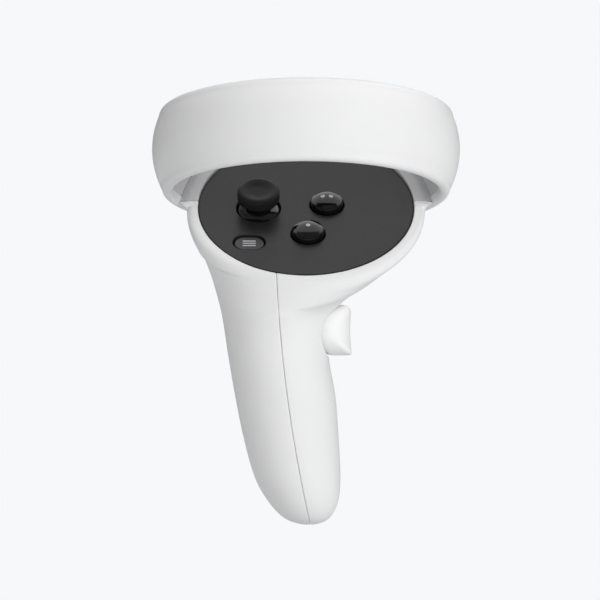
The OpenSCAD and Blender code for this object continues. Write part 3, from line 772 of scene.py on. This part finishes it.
def cell_jacket():
    """The plain printed sleeve of a cell: a pale band round its upper end, no lettering."""
    made, bsdf = shader("cell_jacket", (0.05, 0.08, 0.11), 0.3, coat=0.4)
    tree = made.node_tree
    place = tree.nodes.new("ShaderNodeTexCoord")
    axes = tree.nodes.new("ShaderNodeSeparateXYZ")
    tree.links.new(place.outputs["Object"], axes.inputs["Vector"])
    band = remap(tree, axes.outputs["Z"], 0, 1, start=12.0 * MM, end=12.2 * MM)
    scuffed = mix(tree, remap(tree, noise(tree, 1.2, 5), 0, 1), (0.04, 0.065, 0.09), (0.055, 0.085, 0.12))
    tree.links.new(mix(tree, band, scuffed, (0.45, 0.47, 0.5)), bsdf.inputs["Base Color"])
    tree.links.new(remap(tree, noise(tree, 2, 4), 0.24, 0.42), bsdf.inputs["Roughness"])
    grain(tree, bsdf, 0.6, 0.004)
    return made


def clear_lamp():
    """The smoky clear body of an infrared lamp."""
    made, bsdf = shader("clear_lamp", (0.5, 0.46, 0.6), 0.12)
    bsdf.inputs["Transmission Weight"].default_value = 0.6
    tree = made.node_tree
    tree.links.new(remap(tree, noise(tree, 0.4), 0.08, 0.2), bsdf.inputs["Roughness"])
    grain(tree, bsdf, 0.3, 0.004)
    return made


MATERIALS = {
    "shell": moulded("shell_white", (0.84, 0.84, 0.84), 0.42, 0.28, 0.0022, shade=0.015),
    # Painted shade: the ring's inner band is greyer than the shell, standing in for the shade inside the
    # ring.
    "ring_inner": moulded("ring_inner_painted_shade", (0.64, 0.64, 0.65), 0.38, 0.28, 0.002, shade=0.02),
    "plate": moulded("plate_satin", (0.017, 0.017, 0.018), 0.34, 0.22, 0.002, shade=0.1, specular=0.24),
    "gloss_button": moulded("button_gloss", (0.004, 0.004, 0.0045), 0.09, 0.9, 0.0006, specular=0.42),
    "menu_button": moulded("menu_satin", (0.028, 0.028, 0.03), 0.36, 0.25, 0.002, specular=0.4),
    "stick_rubber": moulded(
        "stick_rubber", (0.011, 0.011, 0.012), 0.6, 0.18, 0.006, shade=0.15, specular=0.22),
    "stick_plastic": moulded("dome_gloss", (0.005, 0.005, 0.0055), 0.1, 0.9, 0.0006),
    "board": circuit_board(),
    "flex": moulded("flex_amber", (0.42, 0.17, 0.03), 0.3, 0.8, 0.006, coat=0.3, shade=0.2),
    "lamp": clear_lamp(),
    "steel": metal("drawn_steel", (0.62, 0.63, 0.65), 0.28, (1, 1, 0.1)),
    "frame_plastic": moulded("frame_plastic", (0.03, 0.03, 0.032), 0.5, 0.3, 0.006, shade=0.15),
    "dome_rubber": moulded("dome_silicone", (0.22, 0.22, 0.23), 0.5, 0.3, 0.004, shade=0.1),
    "cell": cell_jacket(),
    "wire": moulded("wire_jacket", (0.5, 0.02, 0.02), 0.35, 0.5, 0.004, shade=0.2),
}
# Painted shade: the housing's deck inside the ring gets a darker grey than the shell, standing in for the
# ring's shade.
DECK_PAINTED_SHADE = moulded("deck_painted_shade", (0.55, 0.55, 0.56), 0.42, 0.28, 0.0022, shade=0.015)
# Painted light: the grip button is whiter than the shell, standing in for the light that falls on it from
# the right.
GRIP_PAINTED_LIGHT = moulded("grip_painted_light", (0.93, 0.93, 0.93), 0.42, 0.28, 0.0022, shade=0.01)
PRINT = moulded("pale_print", (0.42, 0.42, 0.43), 0.35, 0.3, 0.001)


def dress(piece, slot, body, *nodes, material=None):
    """Gives a piece its finish, the body that it rides on and the CAD nodes that it stands for."""
    piece.data.materials.clear()
    piece.data.materials.append(material or MATERIALS[slot])
    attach(piece, body)
    if nodes:
        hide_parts(*nodes)
    return piece


# ---- Shells ----


def build_shells():
    """The moulded shells, each meshed inside its own box."""
    housing = shaped("main_housing_shell", main_housing, (-36, -36, -39), (48, 42, 86), SHELL_STEP)
    dress(housing, "shell", "housing", "main_housing")
    # The deck inside the ring takes the darker grey of painted shade.
    deck = shaped("ring_deck_shell", ring_deck, (-36, -12, 45), (48, 42, 86), SHELL_STEP)
    dress(deck, "ring_inner", "housing", material=DECK_PAINTED_SHADE)
    door = shaped("battery_door_shell", battery_door, (-33, -31, -39), (10, 32, 60), SHELL_STEP)
    dress(door, "shell", "battery_door", "battery_door")
    trigger = shaped("index_trigger_shell", index_trigger, (-5.5, 16, 23), (13.5, 38.5, 48), PART_STEP)
    dress(trigger, "shell", "index_trigger", "index_trigger")
    # The grip button takes the whiter material of painted light.
    grip = shaped("grip_button_shell", grip_button, (2, -12, 10), (20.5, 13, 27), PART_STEP)
    dress(grip, "shell", "grip_button", "grip_button", material=GRIP_PAINTED_LIGHT)
    eyelet = shaped("wrist_eyelet_lug", wrist_eyelet, (7, 7, -37), (12, 16.5, -29), PART_STEP)
    dress(eyelet, "shell", "housing", "lanyard_eyelet")


def ring_outer_at(w):
    """Radius of the ring's bulging outside, at that height over its middle plane."""
    return RING_R - RING_BULGE * (w - RING_FULL_Z) ** 2


def build_ring():
    """The outer cover wraps round both rims, and the inner band lies between its lips."""
    to_row = placer(RING_CENTRE, -RING_TILT)
    half, edge, lip_edge, wall = RING_H / 2, 1.9, 1.3, 1.7
    seam, recess, clearance = 0.22, 0.12, 0.05
    lip = half - RING_LIP
    outside = [(ring_outer_at(w), w) for w in np.linspace(-half + edge, half - edge, 17)]
    top_r = ring_outer_at(half - edge) - edge
    low_r = ring_outer_at(-half + edge) - edge
    inner = RING_BORE_R
    behind = inner + wall
    outline = outside
    outline += arc((top_r, half - edge), edge, 10, 90)
    outline += arc((inner + lip_edge, half - lip_edge), lip_edge, 90, 180)
    outline += arc((inner + seam, lip + seam), seam, 180, 270, 3)
    outline += [(behind, lip), (behind, -lip)]
    outline += arc((inner + seam, -lip - seam), seam, 90, 180, 3)
    outline += arc((inner + lip_edge, -half + lip_edge), lip_edge, 180, 270)
    outline += arc((low_r, -half + edge), edge, -90, -10)
    cover = turned("ring_outer_shell", outline, to_row, 256)
    dress(cover, "shell", "housing", "ring_outer_cover")

    top = lip - recess
    band_face = inner + recess
    band = arc((behind - seam, top - seam), seam, 0, 90, 3)
    band += arc((band_face + seam, top - seam), seam, 90, 180, 3)
    band += arc((band_face + seam, -top + seam), seam, 180, 270, 3)
    band += arc((behind - seam, -top + seam), seam, 270, 360, 3)
    band = [(min(r, behind - clearance), w) for r, w in band]
    inner_band = turned("ring_inner_band", band, to_row, 256)
    dress(inner_band, "ring_inner", "housing", "ring_inner_cover")


# ---- Face plate and controls ----


def on_plate(uv=(0, 0), rise=0):
    """A placer for a spot on the plate, raised that much over its face."""
    return placer(PLATE_CENTRE, PLATE_TILT, (uv[0], uv[1], rise))


def build_plate():
    plate = shaped(
        "face_plate_panel", face_plate, (-32, -32, -PLATE_T), (32, 32, 0), PART_STEP, on_plate())
    dress(plate, "plate", "housing", "face_plate")


DOME_EDGE = 1.4
DOME_H = BUTTON_RISE - DOME_EDGE
DOME_CURVE_R = (BUTTON_R**2 + DOME_H**2) / (2 * DOME_H)


def dome_top(r):
    """Height of a round button's top over the plate, at that distance from its middle."""
    return BUTTON_RISE - DOME_CURVE_R + math.sqrt(DOME_CURVE_R**2 - r**2)


def build_round_button(name, uv, marks):
    """A glossy domed button with small pale dots as its mark."""
    low, flange_r = -FLANGE_DEPTH - FLANGE_T, BUTTON_R + FLANGE_W
    edge_r, shoulder_w = 0.25, 0.7
    crown = [(r, dome_top(r)) for r in np.linspace(0, BUTTON_R - shoulder_w, 12)]
    crown_r, crown_top = crown[-1]
    shoulder = [
        (crown_r + 0.35, crown_top - 0.17), (BUTTON_R - 0.12, crown_top - 0.38),
        (BUTTON_R, crown_top - shoulder_w)]
    outline = [(0, low)] + arc((flange_r - edge_r, low + edge_r), edge_r, -90, 0, 3)
    outline += [(flange_r, low + FLANGE_T), (BUTTON_R, low + FLANGE_T)]
    outline += shoulder[::-1] + crown[::-1]
    cap = turned(f"{name}_cap", outline, on_plate(uv), 96)
    dress(cap, "gloss_button", name, name)
    for i, (du, dv) in enumerate(marks):
        dot = dome_dot(f"{name}_mark_{i + 1}", uv, du, dv)
        dress(dot, "gloss_button", name, material=PRINT)


def dome_dot(name, uv, du, dv, r=0.65, proud=0.015):
    """A thin printed dot that follows the button's dome."""
    rings, around = 4, 24
    points = [(du, dv, dome_top(math.hypot(du, dv)) + proud)]
    for i in range(1, rings + 1):
        for k in range(around):
            a = 2 * math.pi * k / around
            u, v = du + r * i / rings * math.cos(a), dv + r * i / rings * math.sin(a)
            points.append((u, v, dome_top(math.hypot(u, v)) + proud))
    rim = len(points)
    for k in range(around):
        u, v, w = points[rim - around + k]
        points.append((u, v, w - 2 * proud))
    faces = [(0, 1 + k, 1 + (k + 1) % around) for k in range(around)]
    for i in range(rings):
        start = 1 + i * around
        for k in range(around):
            a, b = start + k, start + (k + 1) % around
            faces.append((a, a + around, b + around, b))
    faces.append(tuple(range(rim, rim + around))[::-1])
    piece = link_mesh(name, on_plate(uv)(np.array(points)), faces)
    tidy_mesh(piece)
    return piece


def menu_bar(v_offset):
    """One raised bar of the menu mark, as a distance function in the plate's frame."""
    half_length, bar_r, proud, edge_r = 1.7, 0.26, 0.07, 0.05

    def distance(u, v, w):
        across = capsule(u - MENU_UV[0], v - MENU_UV[1] - v_offset, half_length, bar_r)
        return rounded_prism(across, w + MENU_RECESS, proud, edge_r)

    return distance


def build_menu_button():
    u, v = MENU_UV
    spacing = 1.05
    cap = shaped(
        "menu_button_cap", menu_cap, (u - 6, v - 5, -3.2), (u + 6, v + 5, 0), PART_STEP, on_plate())
    dress(cap, "menu_button", "menu_button", "menu_button")
    for i, offset in enumerate((-spacing, 0, spacing)):
        low = (u - 2.2, v + offset - 0.5, -0.7)
        high = (u + 2.2, v + offset + 0.5, -0.3)
        bar = shaped(f"menu_mark_{i + 1}", menu_bar(offset), low, high, step=0.06, to_row=on_plate())
        dress(bar, "menu_button", "menu_button", material=PRINT)


def build_key_domes():
    """The rubber domes under the buttons, each reaching to just under its button's flange."""
    gap = 0.06
    height = BOARD_DEPTH - FLANGE_DEPTH - FLANGE_T - gap
    outline = [(0, 0), (2.55, 0), (2.6, 0.05), (2.6, 0.55), (2.55, 0.6), (2.2, 0.62)]
    outline += [(1.46, height - 0.3), (1.36, height - 0.06), (1.24, height), (0, height)]
    for name, uv, travel in (("upper", UPPER_UV, 1.0), ("lower", LOWER_UV, 1.0), ("menu", MENU_UV, 0.5)):
        place = on_plate(uv, -BOARD_DEPTH)
        dome = turned(f"{name}_key_dome", outline, place, 64)
        dress(dome, "dome_rubber", "housing", f"{name}_dome")
        foot = place(np.zeros((1, 3)))[0] * MM
        up = place(np.array([[0.0, 0.0, 1.0]]), turn_only=True)[0]
        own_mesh(dome)


def build_stick():
    """The rubber cap, with fine rings round its dished top, and the dome that closes the socket."""
    rim, edge_r, dish, ridge, steps = CAP_TOP, 1.35, 0.75, 0.03, 24
    low, side = rim - CAP_T, CAP_R - edge_r
    outline = [(0, NECK_TOP), (NECK_R, NECK_TOP), (NECK_R + 0.4, low)]
    outline += arc((side, low + edge_r), edge_r, -90, 0, 8)
    outline += arc((side, rim - edge_r), edge_r, 0, 90, 8)
    for i in range(1, steps):
        raised = ridge if 12 < i < 21 and i % 2 else 0
        outline.append((side * (1 - i / steps), rim - dish * ease(i / 15) + raised))
    outline.append((0, rim - dish))
    cap = turned("stick_cap_rubber", outline, on_plate(STICK_UV), 160)
    dress(cap, "stick_rubber", "thumbstick", "stick_cap")

    skirt_low, skirt_t, seat_drop = 3.0, 1.2, 0.2
    low_angle = math.degrees(math.asin(skirt_low / DOME_R))
    neck_angle = math.degrees(math.acos((NECK_R + 0.4) / DOME_R))
    neck_top = STICK_DEPTH + NECK_TOP
    outline = arc((0, 0), DOME_R, low_angle, neck_angle, 24)
    outline += [(NECK_R, DOME_R - seat_drop), (NECK_R, neck_top)]
    outline += [(POST_R, neck_top), (POST_R, DOME_R - 1.3)]
    outline += arc((0, 0), DOME_R - skirt_t, 79, low_angle + 3, 16)
    dome = turned("stick_dome_skirt", outline, on_plate(STICK_UV, -STICK_DEPTH), 128)
    dress(dome, "stick_plastic", "thumbstick", "stick_dome")


# ---- Springs and battery ----


def helix(turns, r_start, r_end, rise, per_turn=24):
    """A coil's centreline about z, from height 0."""
    points = []
    for i in range(int(turns * per_turn) + 1):
        share = i / (turns * per_turn)
        a = 2 * math.pi * turns * share
        r = r_start + (r_end - r_start) * share
        points.append((r * math.cos(a), r * math.sin(a), rise * share))
    return points


def torsion_spring(name, body_nodes, coil_r, wire_r, turns, leg, to_row):
    """A real wound spring: one wire with a straight leg at each end."""
    spread = 2.2
    height = turns * spread * wire_r
    coil = [(x, y, z - height / 2) for x, y, z in helix(turns, coil_r, coil_r, height)]
    first, last = coil[0], coil[-1]
    start = [(first[0], first[1] - leg * (1 - k / 4), first[2]) for k in range(4)]
    end_angle = 2 * math.pi * turns
    tangent = (-math.sin(end_angle), math.cos(end_angle))
    finish = [
        (last[0] + tangent[0] * leg * k / 4, last[1] + tangent[1] * leg * k / 4, last[2])
        for k in range(1, 5)]
    line = to_row(np.array(start + coil + finish))
    dress(wire(name, line, wire_r), "steel", "housing", *body_nodes)


def build_springs():
    """The two return springs and the cell's conical contact, as single wires."""
    along_x = placer((TRIGGER_X, *TRIGGER_PIN), 0, spin_y=math.pi / 2)
    torsion_spring(
        "trigger_spring_wire", ["trigger_spring"],
        coil_r=1.9, wire_r=0.3, turns=4.6, leg=4.2, to_row=along_x)
    upright = placer((*GRIP_PIN, GRIP_Z), 0)
    torsion_spring(
        "grip_spring_wire", ["grip_spring"],
        coil_r=1.6, wire_r=0.3, turns=3.7, leg=2.6, to_row=upright)
    below_cell = 3.0
    coil = helix(turns=4, r_start=4.6, r_end=1.6, rise=2.9)
    line = battery_place(-below_cell)(np.array(coil))
    dress(wire("contact_spring_wire", line, r=0.33), "steel", "housing", "spring_contact")


def battery_place(along):
    """A placer on the cell's leaning axis, that far above the cell's low end."""
    return placer((BATTERY_X, 0, 0), 0, (0, 0, BATTERY_LOW + along), -BATTERY_LEAN)


def build_cell():
    """An AA cell with crimped shoulders and its nub."""
    nub_h, crimp = 1, 0.8
    body = CELL_L - nub_h
    outline = [(0, 0), (CELL_R - 1.5, 0)] + arc((CELL_R - crimp, crimp), crimp, -90, 0)
    outline += [(CELL_R, 1.8), (CELL_R - 0.12, 2.0), (CELL_R, 2.2), (CELL_R, body - 2.2)]
    outline += arc((CELL_R - crimp, body - crimp), crimp, 0, 90)
    outline += [(CELL_R - 1.6, body - 0.1), (2.9, body - 0.1)] + arc((2.4, body + 0.7), 0.3, 0, 90, 3)
    outline += [(0, CELL_L)]
    cell = turned("aa_cell", outline, battery_place(0), 96)
    dress(cell, "cell", "housing", "aa_battery")


# ---- CAD nodes that stay as they are ----

KEPT = {
    "led_flex_strip": "flex", "infrared_leds": "lamp", "button_board": "board", "button_screws": "steel",
    "main_board": "board", "radio_shield": "steel", "haptic_motor": "steel", "stick_base": "frame_plastic",
    "stick_yoke": "frame_plastic", "stick_hub": "frame_plastic", "stick_post": "steel",
    "stick_switch": "frame_plastic", "trigger_pin": "steel", "trigger_bracket": "frame_plastic",
    "trigger_magnet": "steel", "trigger_sensor": "board", "grip_pin": "steel",
    "grip_bracket": "frame_plastic", "grip_magnet": "steel", "grip_sensor": "board",
    "battery_cradle": "frame_plastic", "plate_contact": "steel", "battery_wires": "wire",
}


def dress_kept_nodes():
    """Gives the CAD solids that still show a finish and slightly broken edges."""
    for name, slot in KEPT.items():
        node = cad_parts[name]
        node.data.materials.clear()
        node.data.materials.append(MATERIALS[slot])
        weld = node.modifiers.new("weld", "WELD")
        weld.merge_threshold = 0.001 * MM
        bevel = node.modifiers.new("broken_edges", "BEVEL")
        bevel.width = 0.08 * MM
        bevel.segments = 2
        bevel.limit_method = "ANGLE"
        bevel.angle_limit = math.radians(40)


# ---- Studio ----

FLOOR_R = 3000
FLOOR_DROP = 160


def build_floor():
    """A plain pale round floor, below the object."""
    around = 64
    points = [(0, 0, -FLOOR_DROP)]
    for k in range(around):
        a = 2 * math.pi * k / around
        points.append((FLOOR_R * math.cos(a), FLOOR_R * math.sin(a), -FLOOR_DROP))
    faces = [(0, 1 + k, 1 + (k + 1) % around) for k in range(around)]
    floor = link_mesh("studio_floor", points, faces)
    paper = moulded("studio_paper", (0.86, 0.865, 0.875), 0.9, 2.0, 0.002, shade=0.0, specular=0.1)
    floor.data.materials.append(paper)


def add_softbox(name, direction, strength, spread_deg, in_reflections):
    """A wide soft light from that direction, which either lights surfaces or shows in gloss."""
    data = bpy.data.lights.new(name, "SUN")
    data.energy = strength
    data.angle = math.radians(spread_deg)
    lamp = bpy.data.objects.new(name, data)
    away = Vector(direction).normalized()
    lamp.location = away * 1.5
    lamp.rotation_euler = away.to_track_quat("Z", "Y").to_euler()
    lamp.visible_glossy = in_reflections
    lamp.visible_diffuse = not in_reflections
    bpy.context.scene.collection.objects.link(lamp)


def build_light():
    """Soft light from the front in an even surround, with a reflection from behind and above."""
    world = bpy.data.worlds.new("studio_surround")
    bpy.context.scene.world = world
    world.cycles_visibility.glossy = False
    world.use_nodes = True
    tree = world.node_tree
    surround = tree.nodes["Background"]
    surround.inputs["Color"].default_value = (1, 1, 1, 1)
    surround.inputs["Strength"].default_value = 0.58
    paper = tree.nodes.new("ShaderNodeBackground")
    paper.inputs["Color"].default_value = (0.93, 0.938, 0.956, 1)
    seen = tree.nodes.new("ShaderNodeLightPath")
    either = tree.nodes.new("ShaderNodeMixShader")
    tree.links.new(seen.outputs["Is Camera Ray"], either.inputs[0])
    tree.links.new(surround.outputs[0], either.inputs[1])
    tree.links.new(paper.outputs[0], either.inputs[2])
    tree.links.new(either.outputs[0], tree.nodes["World Output"].inputs["Surface"])
    add_softbox("front_softbox", (0.52, -0.85, 0.0), strength=2.6, spread_deg=50, in_reflections=False)
    add_softbox("rear_softbox", (0.03, 0.34, 0.94), strength=2.9, spread_deg=106, in_reflections=True)
    bpy.context.scene.view_settings.view_transform = "Standard"


CAMERA_DISTANCE = 6000
CAMERA_AIM = (4.24, 0.0, 27.5)
VIEW_WIDTH = 175.4


def build_camera():
    """A long lens in front of the object, level with its middle."""
    data = bpy.data.cameras.new("camera")
    data.sensor_width = 36
    data.lens = data.sensor_width * CAMERA_DISTANCE / VIEW_WIDTH
    data.clip_end = 50
    camera = bpy.data.objects.new("camera", data)
    camera.location = Vector((CAMERA_AIM[0], CAMERA_AIM[1] - CAMERA_DISTANCE, CAMERA_AIM[2])) * MM
    camera.rotation_euler = (math.pi / 2, 0, 0)
    bpy.context.scene.collection.objects.link(camera)
    bpy.context.scene.camera = camera


build_shells()
build_ring()
build_plate()
build_round_button("upper_button", UPPER_UV, [(-1.2, 0.0), (1.2, 0.0)])
build_round_button("lower_button", LOWER_UV, [(0.0, 0.0)])
build_menu_button()
build_key_domes()
build_stick()
build_springs()
build_cell()
dress_kept_nodes()
build_floor()
build_light()
build_camera()
